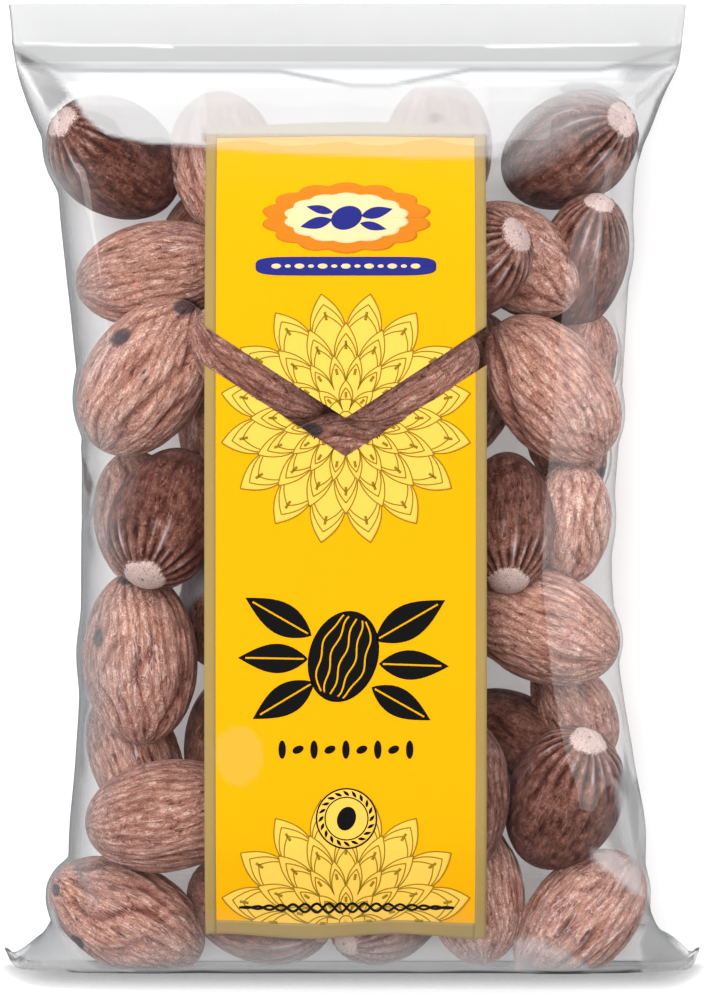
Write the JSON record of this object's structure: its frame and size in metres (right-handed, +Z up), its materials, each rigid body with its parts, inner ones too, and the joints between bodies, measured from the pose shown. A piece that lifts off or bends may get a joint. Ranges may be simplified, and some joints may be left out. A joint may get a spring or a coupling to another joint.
{
  "type": "bag of whole nutmegs",
  "caption": "Sealed clear pillow bag filled with whole dried nutmegs, with a yellow printed front panel, lying on its back.",
  "frame": {"origin": "middle of the footprint on the table, under the lying bag", "axes": "+Z up out of the printed front, +Y towards the top seal, +X to the right of the printed front as it is read"},
  "size_m": [0.1168, 0.1611, 0.0443],
  "materials": {
    "filled_film": "clear glossy film drawn over brown nutmegs",
    "film": "thin clear glossy film, slightly milky at its seals",
    "nutmeg": "dull wrinkled seed, pinkish brown to chocolate brown",
    "print": "bright yellow ink on the film",
    "print_gold": "matt gold ink border",
    "print_pale": "pale yellow ink ornament with thin brown lines",
    "print_orange": "orange ink medallion",
    "print_blue": "indigo ink bar",
    "print_black": "black ink shapes"
  },
  "bodies": {
    "root": {"bag": "filled_film", "print_upper": "print", "print_lower": "print"}
  },
  "joints": []
}
